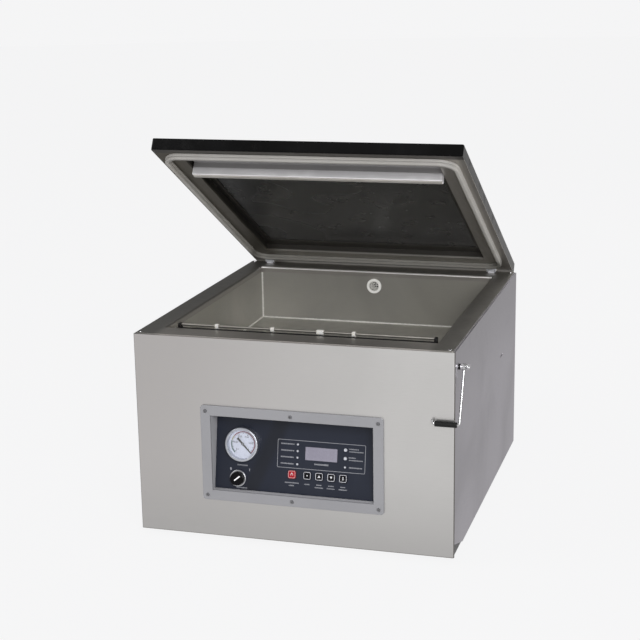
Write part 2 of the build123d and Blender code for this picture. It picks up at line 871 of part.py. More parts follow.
def push_button(x):
    """A square key with a raised border, on a stem that meets its switch on the board."""
    face = panel_spot(x, button_up)
    with BuildPart() as key:
        with BuildSketch(face.offset(-1.6)):
            RectangleRounded(button_size, button_size, 2.6)
        extrude(amount=3.2)
        fillet(key.edges().group_by(Axis(face.origin, face.z_dir))[-1], 0.5)
        with BuildSketch(face.offset(1.3)):
            RectangleRounded(button_size - 2.6, button_size - 2.6, 1.4)
        extrude(amount=1, mode=Mode.SUBTRACT)
        with BuildSketch(face.offset(-1.6)):
            Circle(1.8)
        extrude(amount=-(board_gap - 1.6 - 2.6 - press_travel - 0.3))
    return key


for name, x in buttons.items():
    write(push_button(x), name)

# ================================================================ vacuum gauge and selector
gauge_face = panel_spot(gauge_x, gauge_up)
bezel_h = 11.0
dial_z = 0.5
spindle_r = 0.8
needle_z = 3.0

with BuildPart() as gauge_case:
    disc(gauge_face, gauge_body_r, -26)
    disc(gauge_face, bezel_r, bezel_h)
    fillet(gauge_case.edges().group_by(Axis(gauge_face.origin, gauge_face.z_dir))[-1], 1.7)
    disc(gauge_face.offset(dial_z), dial_r, bezel_h, mode=Mode.SUBTRACT)
    disc(gauge_face.offset(dial_z), spindle_r, needle_z + 0.8 - dial_z)
    disc(gauge_face.offset(-26), 5, -14)
write(gauge_case, "gauge_case")

with BuildPart() as gauge_dial:
    disc(gauge_face.offset(dial_z), dial_r - 0.1, 0.6)
    disc(gauge_face, spindle_r + 0.2, 3, mode=Mode.SUBTRACT)
write(gauge_dial, "gauge_dial")

with BuildPart() as gauge_glass:
    disc(gauge_face.offset(8.2), dial_r - 0.1, 1)
write(gauge_glass, "gauge_glass")

needle_rest = -45.0  # the needle rests at zero, low on the right
with BuildPart() as gauge_needle:
    with BuildSketch(turned(gauge_face.offset(needle_z), needle_rest)):
        with BuildLine():
            Polyline(
                (-12.5, 1.7), (0, 1.2), (20.4, 0.6), (20.4, -0.6), (0, -1.2), (-12.5, -1.7),
                close=True,
            )
        make_face()
        Circle(2.2)
        Circle(spindle_r + fit, mode=Mode.SUBTRACT)
    extrude(amount=0.5)
write(gauge_needle, "gauge_needle")

selector_face = panel_spot(selector_x, selector_up)
shaft_r = 3.0
knob_r = 10.4
knob_h = 9.5

with BuildPart() as selector_switch:
    disc(selector_face, 13.0, 2.4)
    fillet(selector_switch.edges().group_by(Axis(selector_face.origin, selector_face.z_dir))[-1], 0.8)
    disc(selector_face.offset(0.6), knob_r + 0.6, 3, mode=Mode.SUBTRACT)
    disc(selector_face, selector_body_r, -24)
    disc(selector_face.offset(-12), shaft_r + fit, 20, mode=Mode.SUBTRACT)
write(selector_switch, "selector_switch")

line_rest = 40.0  # direction of the white line, from +X
with BuildPart() as selector_knob:
    disc(selector_face.offset(1.0), knob_r, knob_h - 1)
    fillet(
        selector_knob.edges().group_by(Axis(selector_face.origin, selector_face.z_dir))[-1], 1.2
    )
    disc(selector_face.offset(-11.5), shaft_r, 12.5)
    with BuildSketch(turned(selector_face.offset(knob_h), line_rest)):
        with Locations((1.5, 0)):
            Rectangle(11.5, 2.2)
    extrude(amount=-0.5, mode=Mode.SUBTRACT)
    with BuildSketch(selector_face.offset(knob_h)):
        with PolarLocations(knob_r + 0.35, 24):
            Circle(0.75)
    extrude(amount=-knob_h + 1, mode=Mode.SUBTRACT)
write(selector_knob, "selector_knob")

# ================================================================ hold-down latch
latch_line = (latch_y, latch_z)
washer_t = 2.4
eye_r = 5.4
eye_t = 4.8
rod_wire_r = 2.0
right_side = Plane.YZ.offset(half_w)

with BuildPart() as latch_washer:
    disc(right_side, 4.4, washer_t, centre=latch_line)
    fillet(latch_washer.edges().group_by(Axis.X)[-1], 0.8)
    disc(right_side, stud_r, washer_t, mode=Mode.SUBTRACT, centre=latch_line)
write(latch_washer, "latch_washer")

with BuildPart() as latch_stud:
    stud_l = latch_arm_x + eye_t / 2 + 6 - half_w + 7
    disc(right_side.offset(-7), stud_r, stud_l, centre=latch_line)
    disc(right_side.offset(washer_t), 3.8, 2.6, centre=latch_line)
    disc(right_side.offset(-sheet), 5, -3, centre=latch_line)
write(latch_stud, "latch_stud")

nut_x = latch_arm_x + eye_t / 2 + 0.4
with BuildPart() as latch_nut:
    disc(Plane.YZ.offset(nut_x), 4.4, 3.4, centre=latch_line)
    fillet(latch_nut.edges().group_by(Axis.X)[-1], 1)
    with BuildSketch(Plane.XY.offset(latch_z - 1)):
        for side in (-1, 1):
            with BuildLine():
                Polyline(
                    (nut_x + 0.4, latch_y + side * 3),
                    (nut_x + 0.4, latch_y + side * 5),
                    (nut_x + 4.5, latch_y + side * 9),
                    (nut_x + 4.5, latch_y + side * 6.5),
                    close=True,
                )
            make_face()
    extrude(amount=2)
    disc(Plane.YZ.offset(nut_x), stud_r, 4, mode=Mode.SUBTRACT, centre=latch_line)
write(latch_nut, "latch_nut")

reach = sqrt((grip_y - latch_y) ** 2 + (grip_z - latch_z) ** 2)
arm_start = 4.4 / reach
grip_in, grip_out = 221.5, 254.4

with BuildPart() as latch_arm:
    with BuildSketch(Plane.YZ.offset(latch_arm_x - eye_t / 2)):
        with Locations(latch_line):
            Circle(eye_r)
            Circle(stud_r + fit, mode=Mode.SUBTRACT)
    extrude(amount=eye_t)
    with BuildLine() as wire:
        FilletPolyline(
            (
                latch_arm_x,
                latch_y + (grip_y - latch_y) * arm_start,
                latch_z + (grip_z - latch_z) * arm_start,
            ),
            (latch_arm_x, grip_y, grip_z),
            (grip_in - 3.5, grip_y, grip_z),
            (grip_in - 3.5, grip_y, grip_z + 6),
            radius=3.2,
        )
    with BuildSketch(Plane(origin=wire.line @ 0, z_dir=wire.line % 0)):
        Circle(rod_wire_r)
    sweep()
write(latch_arm, "latch_arm")

with BuildPart() as latch_grip:
    disc(Plane.YZ.offset(grip_in), grip_r, grip_out - grip_in, centre=(grip_y, grip_z))
    fillet(latch_grip.edges().group_by(Axis.X)[-1], 0.6)
    disc(
        Plane.YZ.offset(grip_in), rod_wire_r, grip_out - grip_in, mode=Mode.SUBTRACT,
        centre=(grip_y, grip_z),
    )
write(latch_grip, "latch_grip")

# ================================================================ inside the case
pump_x, pump_y = 75.0, 60.0
motor_r = 60.0
motor_z = 84.0

mount_top = base_t
with BuildPart() as vacuum_pump:
    block(Plane.XY.offset(mount_top), (150, 124), 6, centre=(pump_x, pump_y))
    block(Plane.XY.offset(mount_top), (140, 118), 126, centre=(pump_x, pump_y))
    fillet(vacuum_pump.edges().filter_by(Axis.X).group_by(Axis.Z)[-1], 12)
    for step in range(6):
        block(
            Plane.XY.offset(mount_top + 24 + 16 * step), (124, 134), 5, centre=(pump_x, pump_y)
        )
    disc(Plane.XZ.offset(-pump_y + 59), 16, 9, centre=(pump_x + 30, 60))
    disc(Plane.XY.offset(mount_top + 126), 9, 22, centre=(20, pump_y))
write(vacuum_pump, "vacuum_pump")

with BuildPart() as pump_motor:
    disc(Plane.YZ.offset(5), motor_r, -150, centre=(pump_y, motor_z + 4))
    fillet(pump_motor.edges().group_by(Axis.X)[0], 10)
    for step in range(9):
        disc(Plane.YZ.offset(-12 - 13 * step), motor_r + 5, -4, centre=(pump_y, motor_z + 4))
    block(
        Plane.XY.offset(motor_z + motor_r), (70, 50), 26, centre=(-70, pump_y)
    )
write(pump_motor, "pump_motor")

with BuildPart() as transformer:
    block(Plane.XY.offset(base_t), (96, 74), 84, centre=(-165, -120))
    block(Plane.XY.offset(base_t + 12), (62, 104), 60, centre=(-165, -120))
    fillet(transformer.edges().filter_by(Axis.Z), 3)
write(transformer, "transformer")

valve_x, valve_y = 0.0, 170.0
valve_low = floor_z - tub_wall - 30

with BuildPart() as solenoid_valves:
    block(Plane.XY.offset(valve_low), (84, 40), 30, centre=(valve_x, valve_y))
    for side in (-1, 1):
        disc(Plane.XY.offset(valve_low), 15, -36, centre=(valve_x + side * 21, valve_y))
write(solenoid_valves, "solenoid_valves")

hose_r, hose_bore = 7.5, 5.0


def hose(radius, *points):
    """One hose laid along straight runs with rounded corners."""
    with BuildPart() as tube:
        with BuildLine() as route:
            FilletPolyline(*points, radius=radius)
        with BuildSketch(Plane(origin=route.line @ 0, z_dir=route.line % 0)):
            Circle(hose_r)
            Circle(hose_bore, mode=Mode.SUBTRACT)
        sweep()
    return tube.part


valve_z = valve_low + 15
port_end = chamber_back + 20
valve_back = valve_y + 20
valve_front = valve_y - 20
pump_inlet_top = mount_top + 126 + 22

with BuildPart() as vacuum_hoses:
    add(
        hose(
            12,
            (0, port_end, port_z),
            (0, port_end + 13, port_z),
            (0, port_end + 13, valve_z),
            (0, valve_back, valve_z),
        )
    )
    add(hose(16, (20, valve_front, valve_z), (20, pump_y, valve_z), (20, pump_y, pump_inlet_top)))
write(vacuum_hoses, "vacuum_hoses")
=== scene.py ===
import json
import random
from math import cos, pi, radians, sin

import bmesh
import bpy
from mathutils import Matrix, Vector


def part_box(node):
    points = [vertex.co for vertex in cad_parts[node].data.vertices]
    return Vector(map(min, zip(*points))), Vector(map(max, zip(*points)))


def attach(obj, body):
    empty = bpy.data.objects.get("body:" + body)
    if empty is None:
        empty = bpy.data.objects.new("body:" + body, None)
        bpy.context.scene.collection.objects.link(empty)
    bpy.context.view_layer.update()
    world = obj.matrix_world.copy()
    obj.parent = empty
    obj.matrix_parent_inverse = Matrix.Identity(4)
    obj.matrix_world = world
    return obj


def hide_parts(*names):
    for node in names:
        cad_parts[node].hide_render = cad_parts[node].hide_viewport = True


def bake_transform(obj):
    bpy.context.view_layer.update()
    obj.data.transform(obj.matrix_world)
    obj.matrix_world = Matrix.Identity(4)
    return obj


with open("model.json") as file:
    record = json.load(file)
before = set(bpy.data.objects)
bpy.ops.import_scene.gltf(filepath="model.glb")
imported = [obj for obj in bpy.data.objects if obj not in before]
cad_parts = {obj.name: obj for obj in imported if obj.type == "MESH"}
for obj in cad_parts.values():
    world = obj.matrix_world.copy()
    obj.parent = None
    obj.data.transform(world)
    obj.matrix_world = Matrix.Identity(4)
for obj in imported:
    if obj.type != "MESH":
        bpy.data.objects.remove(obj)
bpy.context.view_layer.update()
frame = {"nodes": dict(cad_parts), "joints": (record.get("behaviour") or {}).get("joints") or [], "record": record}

# ================================================================ places taken from the frame
mm = 0.001
joints = {joint["name"]: joint for joint in frame["joints"]}
slots = {part["node"]: part["material_slot"] for part in frame["record"]["subparts"]}
X = Vector((1, 0, 0))


def axes_at(origin, across, out):
    """A matrix from local millimetres to the row frame, with local z along out."""
    up = out.cross(across)
    turn = Matrix((across, up, out)).transposed().to_4x4()
    return Matrix.Translation(origin) @ turn @ Matrix.Scale(mm, 4)


def centre_of(node):
    """The middle of a CAD node's box."""
    low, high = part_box(node)
    return (low + high) / 2


panel_out = Vector(joints["selector_turn"]["axis"]).normalized()
panel_foot = Vector((0, -0.272, 0.074))  # where the panel's face starts, low in its well
panel = axes_at(panel_foot, X, panel_out)


def panel_place(point):
    """Local x and height on the panel, in millimetres, of a point in the row frame."""
    local = panel.inverted() @ Vector(point)
    return local.x, local.y


gauge_x, gauge_up = panel_place(joints["needle_turn"]["pos_m"])
selector_x, selector_up = panel_place(joints["selector_turn"]["pos_m"])
display_x, display_up = panel_place(centre_of("display_module"))

hinge = Vector(joints["lid_hinge"]["pos_m"])
lid_angle = radians(joints["lid_hinge"]["range_deg"][1])

deck_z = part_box("top_deck")[1].z
floor_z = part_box("lift_cylinders")[0].z
ground_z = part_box("feet")[0].z

tub_low, tub_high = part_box("chamber_tub")
tub_wall = 0.002
chamber_low = Vector((tub_low.x + tub_wall, tub_low.y + tub_wall, floor_z))
chamber_high = Vector((tub_high.x - tub_wall, tub_high.y - tub_wall, deck_z))

# ================================================================ procedural materials
# The textures' axes are the case's own, or turn with the standing lid, with z out of its top.
grain_turn = {"case": (0, 0, 0), "lid": (lid_angle, 0, 0)}


class Look:
    """A material with its Principled shader and short calls that add texture nodes to it."""

    def __init__(self, name, colour, rough, metal=0.0, frame_of="case", **sockets):
        self.name = name
        self.colour = colour
        self.rough = rough
        self.turn = grain_turn[frame_of]
        self.height = None
        self.material = bpy.data.materials.new(name)
        self.material.use_nodes = True
        self.tree = self.material.node_tree
        self.shader = self.tree.nodes["Principled BSDF"]
        self.points = self.tree.nodes.new("ShaderNodeTexCoord").outputs["Object"]
        self.set(self.shader, "Base Color", (*colour, 1))
        self.set(self.shader, "Roughness", rough)
        self.set(self.shader, "Metallic", metal)
        for socket, value in sockets.items():
            self.set(self.shader, socket.replace("_", " "), value)

    def set(self, node, socket, value):
        """Links an output to a node's socket, or writes a constant into it."""
        if isinstance(value, bpy.types.NodeSocket):
            self.tree.links.new(value, node.inputs[socket])
        else:
            node.inputs[socket].default_value = value

    def add(self, kind, inputs, **settings):
        """A new node, with its settings and its inputs filled in."""
        node = self.tree.nodes.new(kind)
        for key, value in settings.items():
            setattr(node, key, value)
        for socket, value in inputs.items():
            self.set(node, socket, value)
        return node

    def stretched(self, stretch):
        """Object coordinates, turned to the grain's frame and scaled along its axes."""
        inputs = {"Vector": self.points, "Rotation": self.turn, "Scale": stretch}
        return self.add("ShaderNodeMapping", inputs).outputs["Vector"]

    def noise(self, scale, stretch=(1, 1, 1), detail=3.0, rough=0.5, distort=0.0):
        """Fractal noise in the grain's frame, around 0.5."""
        inputs = {
            "Vector": self.stretched(stretch),
            "Scale": scale,
            "Detail": detail,
            "Roughness": rough,
            "Distortion": distort,
        }
        return self.add("ShaderNodeTexNoise", inputs).outputs["Fac"]

    def remap(self, value, low, high, to_low=0.0, to_high=1.0):
        """Carries low..high smoothly over to to_low..to_high, and clamps what lies outside."""
        inputs = {
            "Value": value,
            "From Min": low,
            "From Max": high,
            "To Min": to_low,
            "To Max": to_high,
        }
        return self.add("ShaderNodeMapRange", inputs, interpolation_type="SMOOTHSTEP").outputs["Result"]

    def math(self, operation, first, second):
        """One arithmetic step on two values, each a socket or a number."""
        return self.add("ShaderNodeMath", {0: first, 1: second}, operation=operation).outputs[0]

    def product(self, *values):
        """All the values multiplied together."""
        total = values[0]
        for value in values[1:]:
            total = self.math("MULTIPLY", total, value)
        return total

    def place_mask(self, axis, start, end):
        """0 before start and 1 after end, in metres along one axis of the grain's frame."""
        split = self.add("ShaderNodeSeparateXYZ", {"Vector": self.stretched((1, 1, 1))})
        return self.remap(split.outputs[axis], start, end)

    def tint(self, fac, colour):
        """Mixes the base colour towards another one where fac is high."""
        node = self.add("ShaderNodeMix", {"Factor": fac}, data_type="RGBA")
        socket = self.shader.inputs["Base Color"]
        before = socket.links[0].from_socket if socket.links else (*self.colour, 1)
        self.set(node, 6, before)
        self.set(node, 7, (*colour, 1))
        self.tree.links.new(node.outputs[2], socket)

    def roughen(self, fac, amount):
        """Adds amount times fac to the roughness."""
        socket = self.shader.inputs["Roughness"]
        before = socket.links[0].from_socket if socket.links else self.rough
        total = self.math("ADD", before, self.product(fac, amount))
        self.tree.links.new(total, socket)

    def emboss(self, height, depth):
        """Adds a bump whose full height is depth, in metres."""
        inputs = {"Height": height, "Distance": depth, "Strength": 1.0}
        if self.height is not None:
            inputs["Normal"] = self.height
        self.height = self.add("ShaderNodeBump", inputs).outputs["Normal"]
        self.set(self.shader, "Normal", self.height)


def shade(colour, factor):
    """A colour made darker or lighter by a factor."""
    return tuple(min(1.0, channel * factor) for channel in colour)


def rolled_steel(
    name, colour, rough, metal=1.0, cloud=0.10, stretch=(1, 1, 60), frame_of="case", cast=None
):
    """Satin stainless sheet: fine rolled grain, cloudy patches and handling marks."""
    look = Look(name, colour, rough, metal=metal, frame_of=frame_of)
    patches = look.noise(4.5, detail=4, distort=0.6)
    look.tint(look.remap(patches, 0.35, 0.75, 0, 1), shade(colour, 1 - cloud))
    if cast:
        look.tint(look.remap(look.noise(2.2, detail=2), 0.45, 0.7, 0, 0.6), cast)
    grain = look.noise(60, stretch=stretch, detail=2)
    look.tint(look.remap(grain, 0.35, 0.8, 0, 0.16), shade(colour, 0.72))
    look.roughen(look.remap(grain, 0.3, 0.7), 0.06)
    marks = look.noise(22, detail=6, rough=0.65, distort=1.2)
    look.roughen(look.remap(marks, 0.56, 0.68), 0.05)
    look.emboss(grain, 0.000012)
    look.emboss(look.noise(3.0, detail=1), 0.0012)
    return look


def moulded(name, colour, rough, **sockets):
    """Moulded plastic or rubber: a fine pebbled skin and faint tone changes."""
    look = Look(name, colour, rough, **sockets)
    look.tint(look.remap(look.noise(35, detail=4), 0.4, 0.75, 0, 0.35), shade(colour, 0.75))
    skin = look.noise(900, detail=2)
    look.roughen(look.remap(skin, 0.3, 0.7), 0.10)
    look.emboss(skin, 0.00002)
    return look


def polished(name, colour, rough, stretch=(1, 1, 1), metal=1.0):
    """Bright metal with fine drawn lines, or a fine even texture where nothing is stretched."""
    look = Look(name, colour, rough, metal=metal)
    lines = look.noise(260, stretch=stretch, detail=3)
    look.tint(look.remap(lines, 0.35, 0.75, 0, 0.3), shade(colour, 0.7))
    look.roughen(look.remap(look.noise(60, detail=5), 0.45, 0.7), 0.12)
    look.emboss(lines, 0.00001)
    return look


def painted(name, colour, rough, peel=0.00003, chips=0.0):
    """Sprayed paint: orange peel, cloudy dust and, where asked for, small chips."""
    look = Look(name, colour, rough, Coat_Weight=0.25, Coat_Roughness=0.2)
    look.tint(look.remap(look.noise(9, detail=4), 0.4, 0.75, 0, 0.35), shade(colour, 0.8))
    look.roughen(look.remap(look.noise(40, detail=5), 0.45, 0.7), 0.10)
    look.emboss(look.noise(420, detail=2), peel)
    if chips:
        look.tint(look.remap(look.noise(120, detail=6), 0.70, 0.72, 0, chips), (0.3, 0.3, 0.3))
    return look


def make_looks():
    """The materials by name: one for each slot in use, and those that own_looks gives out."""
    metals = [
        rolled_steel("case_steel", (0.62, 0.605, 0.59), 0.34, cloud=0.08),
        front_steel(),
        side_steel(),
        rolled_steel(
            "chamber_steel", (0.44, 0.43, 0.40), 0.36, 0.8, cloud=0.22, cast=(0.39, 0.375, 0.325)
        ),
        flange_steel(),
        rim_steel(),
        rolled_steel("holder_steel", (0.38, 0.37, 0.375), 0.40, 0.6, frame_of="lid"),
        polished("rod_steel", (0.40, 0.385, 0.35), 0.36, (0.02, 1, 1)),
        polished("arm_steel", (0.52, 0.52, 0.53), 0.24),
        polished("screw_steel", (0.20, 0.20, 0.21), 0.30),
        polished("bezel_steel", (0.56, 0.58, 0.63), 0.36),
        rolled_steel("hinge_steel", (0.74, 0.75, 0.79), 0.38, 0.5, stretch=(60, 1, 1)),
        polished("bright_steel", (0.82, 0.82, 0.84), 0.14),
        polished("aluminium_bar", (0.88, 0.87, 0.89), 0.42, (0.02, 1, 1), 0.6),
        polished("cylinder_aluminium", (0.62, 0.62, 0.62), 0.28, (1, 1, 6)),
        polished("heater_alloy", (0.45, 0.43, 0.40), 0.32, (0.02, 1, 1)),
        polished("valve_brass", (0.72, 0.52, 0.25), 0.30),
        polished("selector_ring", (0.66, 0.67, 0.70), 0.28),
    ]
    paints = [
        painted("black_paint", (0.035, 0.035, 0.038), 0.42, chips=0.3),
        frame_silver(),
        painted("motor_grey", (0.16, 0.17, 0.18), 0.5, peel=0.0001, chips=0.3),
        painted("transformer_iron", (0.10, 0.09, 0.08), 0.55, peel=0.0001),
    ]
    mouldings = [
        moulded("needle_black", (0.0008, 0.0008, 0.0015), 0.5, Specular_IOR_Level=0.05),
        moulded("rubber_black", (0.003, 0.003, 0.003), 0.5, Specular_IOR_Level=0.25),
        moulded("hose_rubber", (0.02, 0.02, 0.02), 0.55),
        moulded("knob_black", (0.0015, 0.0015, 0.002), 0.4, Specular_IOR_Level=0.12),
        moulded("button_black", (0.0015, 0.0015, 0.003), 0.4, Specular_IOR_Level=0.15),
        moulded("button_red", (0.32, 0.005, 0.013), 0.40, Specular_IOR_Level=0.3),
        moulded(
            "white_nylon", (0.62, 0.61, 0.58), 0.42, Subsurface_Weight=0.15,
            Subsurface_Radius=(1, 0.8, 0.6), Subsurface_Scale=0.002,
        ),
        port_white(),
        moulded("board_green", (0.02, 0.12, 0.045), 0.35),
    ]
    others = [
        lid_black(),
        smoked_pane(),
        silicone(),
        ptfe_cloth(),
        panel_overlay(),
        display_lens(),
        led_lens(),
        dial_card(),
        clear_glass(),
    ]
    return {look.name: look.material for look in metals + paints + mouldings + others}


def front_steel():
    """The front sheet, with painted shade that makes it darker to the left and towards its foot, and dark lines of
    painted shade along its folded side edges and its foot.
    """
    look = rolled_steel("front_steel", (0.595, 0.59, 0.582), 0.34, cloud=0.07)
    # painted shade: darker towards the left and towards the foot
    look.tint(look.place_mask("X", 0.22, -0.26), (0.47, 0.455, 0.45))
    look.tint(look.place_mask("Z", 0.14, -0.03), (0.42, 0.415, 0.41))
    # painted shade in the folds at both side edges and along the foot
    seam_shades = (("X", 0.2488, 0.2492), ("X", -0.2488, -0.2492), ("Z", 0.0012, 0.0006))
    for axis, start, end in seam_shades:
        look.tint(look.place_mask(axis, start, end), (0.20, 0.19, 0.18))
    return look


def side_steel():
    """The side sheets: cloudy, with a purple cast that is a painted reflection, and painted shade that makes them
    a little darker towards the deck.
    """
    # the purple cast of this base colour is a painted reflection
    look = rolled_steel("side_steel", (0.61, 0.59, 0.64), 0.34, cloud=0.20)
    # painted shade: a little darker towards the deck
    look.tint(look.place_mask("Z", 0.16, 0.33), (0.48, 0.465, 0.50))
    return look


def rim_steel():
    """The deck: painted shade along its sides, and a painted highlight on the rounded fold behind the chamber."""
    look = rolled_steel("rim_steel", (0.40, 0.38, 0.355), 0.32, 0.75, cloud=0.18)
    # painted shade along the deck's side strips, deeper on the left
    for side, tone in ((1, (0.25, 0.24, 0.22)), (-1, (0.20, 0.195, 0.185))):
        edge = look.place_mask("X", side * 0.205, side * 0.222)
        look.tint(look.product(edge, 0.9), tone)
    # painted highlight along the rounded fold behind the chamber
    behind = (look.place_mask("Y", 0.2278, 0.2286), look.place_mask("Y", 0.2325, 0.2318))
    between = (look.place_mask("X", -0.215, -0.214), look.place_mask("X", 0.215, 0.214))
    above = look.place_mask("Z", deck_z - 0.0030, deck_z - 0.0024)
    look.tint(look.product(*behind, *between, above), (0.98, 0.97, 0.95))
    return look


def frame_silver():
    """Silver paint of the control frame, with painted light that makes the walls of the well inside it paler."""
    look = painted("frame_silver", (0.245, 0.245, 0.26), 0.42)
    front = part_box("control_frame")[0].y
    # painted light on the walls of the well
    well = look.place_mask("Y", front + 0.0033, front + 0.0040)
    look.tint(well, (0.40, 0.40, 0.42))
    return look


def port_white():
    """White moulding of the port, greyed inside its screen."""
    look = moulded("port_white", (0.90, 0.89, 0.86), 0.42)
    place = centre_of("vacuum_port")
    screen_edge, screen_inside = 0.0094, 0.0090
    split = look.add("ShaderNodeSeparateXYZ", {"Vector": look.points})
    across = look.math("SUBTRACT", split.outputs["X"], place.x)
    up = look.math("SUBTRACT", split.outputs["Z"], place.z)
    reach = look.math("ADD", look.product(across, across), look.product(up, up))
    look.tint(look.remap(reach, screen_edge**2, screen_inside**2), (0.60, 0.59, 0.56))
    return look


def lid_place(along, out=0):
    """Where a point of the lid lies in its turned axes, given in millimetres from its hinge end."""
    hinge_drop = 4.8 * mm  # from the lid's underside down to the hinge line
    foot = hinge + Vector((0, sin(lid_angle), cos(lid_angle))) * hinge_drop
    turned = Matrix.Rotation(lid_angle, 3, "X") @ foot
    return turned.y + along * mm, turned.z + out * mm


def flange_steel():
    """The lid's underside: a painted reflection that darkens its left, painted shade before the gasket, a painted
    shadow line along its front edge and painted shade deep in its pan.
    """
    look = rolled_steel(
        "flange_steel", (0.42, 0.40, 0.37), 0.34, 0.85, frame_of="lid", stretch=(1, 60, 1)
    )
    gasket_front, under = lid_place(-519, 0.4)
    left = look.place_mask("X", -0.165, -0.205)
    rim = look.place_mask("Y", gasket_front + 0.002, gasket_front - 0.001)
    front_edge = look.place_mask("Y", gasket_front - 0.0115, gasket_front - 0.0123)
    pan = look.place_mask("Z", under + 0.0016, under + 0.004)
    # painted reflection: darker at the left
    look.tint(left, (0.15, 0.137, 0.115))
    # painted shade before the gasket
    look.tint(rim, (0.11, 0.105, 0.10))
    # painted shadow line along the front edge
    look.tint(front_edge, (0.004, 0.004, 0.004))
    # painted shade deep in the pan
    look.tint(look.product(pan, 0.85), (0.03, 0.028, 0.025))
    return look


def lid_black():
    """Black gloss coat over steel, with hairline polishing marks."""
    look = Look("lid_black", (0.002, 0.002, 0.002), 0.18, frame_of="lid", Specular_IOR_Level=0.12)
    haze = look.noise(7, detail=5, distort=0.8)
    look.tint(look.remap(haze, 0.4, 0.75, 0, 0.5), (0.006, 0.006, 0.0065))
    look.roughen(look.remap(look.noise(45, detail=6), 0.5, 0.7), 0.12)
    look.emboss(look.noise(260, detail=2), 0.00001)
    return look


def smoked_pane():
    """Dark smoked acrylic with faint wiping swirls."""
    look = Look(
        "smoked_pane", (0.03, 0.03, 0.03), 0.26, frame_of="lid", Transmission_Weight=0.85, IOR=1.4
    )
    swirl = look.noise(3.2, detail=1, distort=2.5)
    veil = look.remap(swirl, 0.60, 0.68, 0, 1)
    look.roughen(veil, 0.08)
    look.roughen(look.remap(look.noise(30, detail=6), 0.5, 0.75), 0.03)
    look.tint(look.remap(swirl, 0.50, 0.72, 0, 0.5), (0.07, 0.07, 0.07))
    return look


def silicone():
    """Grey silicone: satin, slightly translucent, dusty in patches, with painted shade that makes it darker at
    both ends.
    """
    look = Look(
        "silicone_grey", (0.40, 0.385, 0.36), 0.48, frame_of="lid", Subsurface_Weight=0.1,
        Subsurface_Radius=(1, 0.9, 0.8), Subsurface_Scale=0.002,
    )
    look.tint(look.remap(look.noise(16, detail=5), 0.4, 0.75, 0, 0.5), (0.30, 0.28, 0.25))
    look.roughen(look.remap(look.noise(120, detail=4), 0.4, 0.7), 0.15)
    look.emboss(look.noise(500, detail=2), 0.00003)
    # painted shade at the front end and at the rear end
    front = lid_place(-500)[0]
    look.tint(look.product(look.place_mask("Y", front, front - 0.01), 0.5), (0.22, 0.215, 0.21))
    rear = lid_place(-70)[0]
    look.tint(look.product(look.place_mask("Y", rear, rear + 0.02), 0.8), (0.17, 0.165, 0.15))
    return look


def ptfe_cloth():
    """Tan PTFE-coated glass cloth with a plain weave of about 0.6 mm."""
    look = Look("ptfe_tan", (0.40, 0.27, 0.15), 0.42)
    threads = {"Vector": look.points, "Scale": 260.0}
    across = look.add("ShaderNodeTexWave", threads, bands_direction="X")
    along = look.add("ShaderNodeTexWave", threads, bands_direction="Y")
    weave = look.product(across.outputs["Fac"], along.outputs["Fac"])
    look.tint(weave, (0.28, 0.18, 0.09))
    look.tint(look.remap(look.noise(18, detail=4), 0.5, 0.7, 0, 0.6), (0.20, 0.11, 0.05))
    look.emboss(weave, 0.00008)
    return look


def panel_overlay():
    """Slate polyester overlay: a fine matt texture, with a painted reflection of lighter streaks and one darker
    slanting band.
    """
    look = Look("panel_slate", (0.006, 0.009, 0.020), 0.38, Specular_IOR_Level=0.38)
    # painted reflection: lighter streaks
    reflection_streak = look.noise(14, stretch=(1.0, 1, 0.35), detail=3, distort=0.5)
    look.tint(look.remap(reflection_streak, 0.45, 0.75, 0, 0.5), (0.011, 0.015, 0.027))
    # painted reflection: a darker slanting band
    split = look.add("ShaderNodeSeparateXYZ", {"Vector": look.points})
    slant = look.math("SUBTRACT", split.outputs["X"], look.product(split.outputs["Z"], 0.45))
    reflection_band = (look.remap(slant, -0.125, -0.110), look.remap(slant, -0.085, -0.100))
    look.tint(look.product(*reflection_band, 0.6), (0.003, 0.004, 0.007))
    skin = look.noise(1500, detail=2)
    look.roughen(look.remap(skin, 0.3, 0.7), 0.08)
    look.emboss(skin, 0.00001)
    return look


def display_lens():
    """Unlit display under a pale grey lens."""
    look = Look("display_grey", (0.235, 0.225, 0.28), 0.22, Coat_Weight=0.5, Coat_Roughness=0.08)
    look.tint(look.remap(look.noise(60, detail=3), 0.4, 0.7, 0, 0.35), (0.205, 0.195, 0.25))
    look.roughen(look.remap(look.noise(900, detail=1), 0.3, 0.7), 0.08)
    return look


def led_lens():
    """Frosted pale lens of an unlit lamp."""
    look = Look(
        "led_lens", (0.50, 0.51, 0.55), 0.28, Subsurface_Weight=0.4, Subsurface_Radius=(1, 1, 1),
        Subsurface_Scale=0.001,
    )
    look.tint(look.remap(look.noise(500, detail=2), 0.4, 0.7, 0, 0.3), (0.5, 0.5, 0.56))
    return look


def dial_card():
    """White printed card with a faint fibre."""
    look = Look("dial_white", (0.52, 0.55, 0.66), 0.5)
    look.tint(look.remap(look.noise(300, detail=4), 0.4, 0.75, 0, 0.3), (0.47, 0.50, 0.60))
    return look


def clear_glass():
    """Thin clear cover glass, almost invisible but for its gloss and a few dust specks."""
    look = Look("clear_glass", (0.98, 0.98, 0.98), 0.03, Alpha=0.05, IOR=1.45)
    look.roughen(look.remap(look.noise(200, detail=5), 0.66, 0.72), 0.2)
    return look


def ink(name, colour):
    """The material of a screen-printed ink, slightly uneven in tone and thickness."""
    look = Look(name, colour, 0.5)
    look.tint(look.remap(look.noise(700, detail=3), 0.4, 0.75, 0, 0.3), shade(colour, 0.75))
    look.emboss(look.noise(900, detail=2), 0.00001)
    return look.material


